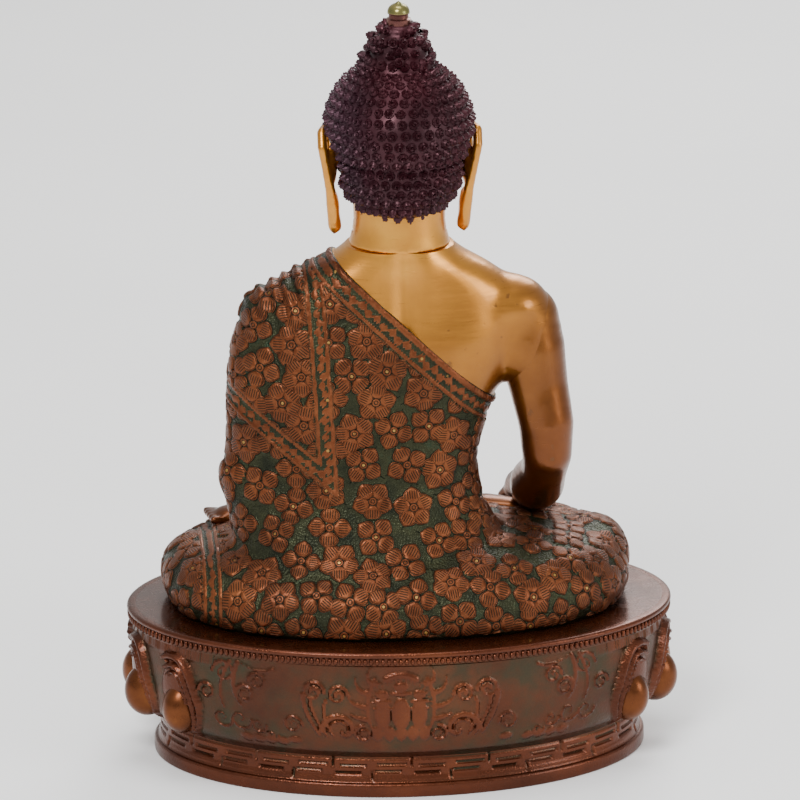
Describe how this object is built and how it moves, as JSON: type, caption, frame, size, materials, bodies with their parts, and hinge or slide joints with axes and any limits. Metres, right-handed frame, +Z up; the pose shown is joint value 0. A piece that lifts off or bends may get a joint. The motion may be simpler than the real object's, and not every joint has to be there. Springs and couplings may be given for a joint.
{
  "type": "buddha statue",
  "caption": "Seated cross-legged brass figure in a monk's robe, the right hand reaching down to the earth, on an oval lotus pedestal.",
  "frame": {"origin": "middle of the pedestal's foot, on the surface that it stands on", "axes": "+Z up, -Y the way the figure faces, +X the figure's own left"},
  "size_m": [0.3958, 0.2366, 0.535],
  "materials": {
    "lacquered_base": "dark red-brown lacquer over brass, glossy",
    "relief_base": "red-brown patina on the relief, green-black in the recesses",
    "patinated_robe": "copper red-brown on the relief, green patina in the recesses",
    "gold_skin": "brushed and lacquered gold brass",
    "dark_hair": "dark crimson and olive patina",
    "gold_jewel": "gold-green lacquer",
    "patinated_bowl": "dark brown patina",
    "plain_sheet": "plain sheet brass",
    "fasteners": "plain turned brass"
  },
  "bodies": {
    "root": {"plinth_ring": "lacquered_base", "cover_plate": "plain_sheet", "cover_screws": "fasteners", "pedestal_drum": "relief_base", "beaded_rim": "lacquered_base", "seat_plate": "lacquered_base", "studs": "fasteners", "washers": "fasteners", "nuts": "fasteners", "leg_casting": "patinated_robe", "robed_torso": "patinated_robe", "bare_shoulder": "gold_skin", "right_arm": "gold_skin", "right_hand": "gold_skin", "left_hand": "gold_skin", "left_foot": "gold_skin", "right_foot": "gold_skin", "shoulder_dowel": "fasteners", "wrist_dowel": "fasteners", "alms_bowl": "patinated_bowl", "neck_spigot": "fasteners", "head_shell": "gold_skin", "hair_cap": "dark_hair", "finial": "gold_jewel"}
  },
  "joints": []
}
